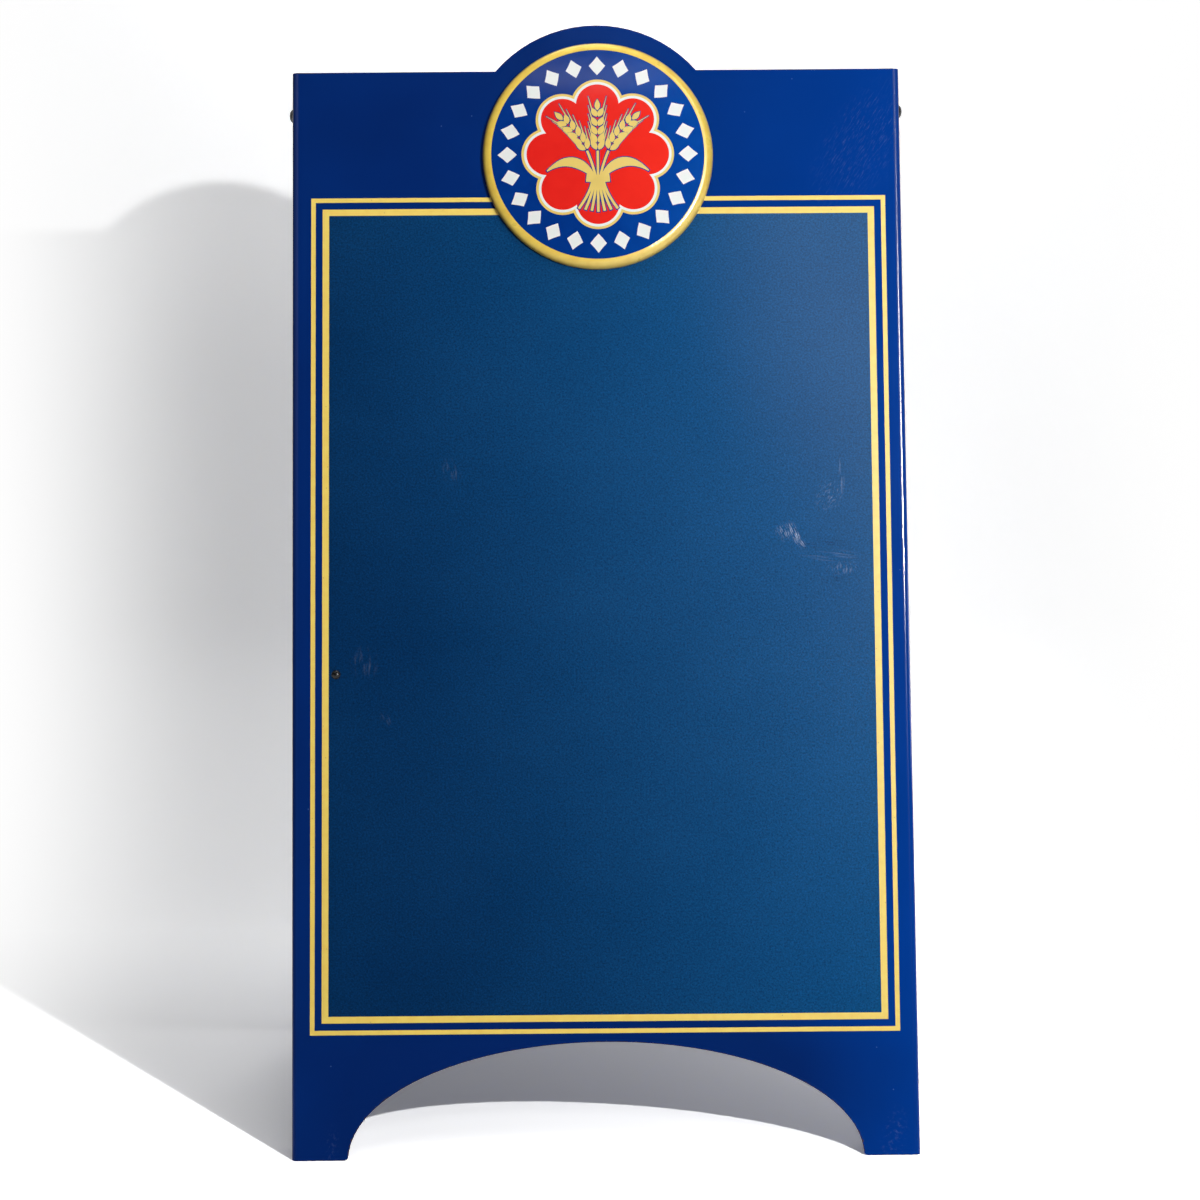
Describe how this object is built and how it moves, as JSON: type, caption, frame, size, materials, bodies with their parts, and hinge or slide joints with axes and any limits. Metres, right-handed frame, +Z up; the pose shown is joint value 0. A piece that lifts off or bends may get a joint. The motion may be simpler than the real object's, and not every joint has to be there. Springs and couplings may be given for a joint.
{
  "type": "a-frame chalkboard sign",
  "caption": "Folding A-frame pavement sign: two bent sheet-steel boards with arched feet, round heads, chalkboard faces and domed badges, pivoted on side screws and held open by a chain.",
  "frame": {"origin": "on the floor, midway between the four feet and straight under the pivot", "axes": "+Z up, X across the boards, the front board faces -Y and the rear board +Y"},
  "size_m": [0.6096, 0.5074, 1.079],
  "materials": {
    "navy_enamel": "gloss",
    "chalkboard_film": "matte",
    "gold_border_film": "gloss",
    "badge_gold": "satin",
    "badge_navy": "gloss",
    "foam_tape": "matte",
    "black_steel": "gloss",
    "zinc_steel": "satin",
    "nylon": "matte"
  },
  "bodies": {
    "front_board": {"front_panel": "navy_enamel", "front_chalkboard": "chalkboard_film", "front_narrow_border": "gold_border_film", "front_wide_border": "gold_border_film", "front_badge_tape": "foam_tape", "front_badge_rim": "badge_gold", "front_badge_plate": "badge_navy", "pivot_screw_left": "black_steel", "pivot_screw_right": "black_steel", "pivot_spacer_left": "nylon", "pivot_spacer_right": "nylon", "pivot_washer_left": "zinc_steel", "pivot_washer_right": "zinc_steel", "pivot_nut_left": "zinc_steel", "pivot_nut_right": "zinc_steel", "front_chain_rivet": "black_steel", "front_chain_lug": "black_steel", "stay_chain": "zinc_steel"},
    "rear_board": {"rear_panel": "navy_enamel", "rear_chalkboard": "chalkboard_film", "rear_narrow_border": "gold_border_film", "rear_wide_border": "gold_border_film", "rear_badge_tape": "foam_tape", "rear_badge_rim": "badge_gold", "rear_badge_plate": "badge_navy", "rear_chain_rivet": "black_steel", "rear_chain_lug": "black_steel"}
  },
  "joints": [
    {"name": "fold", "type": "hinge", "parent": "front_board", "child": "rear_board", "pos_m": [0, 0, 0.99236], "axis": [-1, 0, 0], "range_deg": [0, 26], "deforming": ["stay_chain"]}
  ]
}
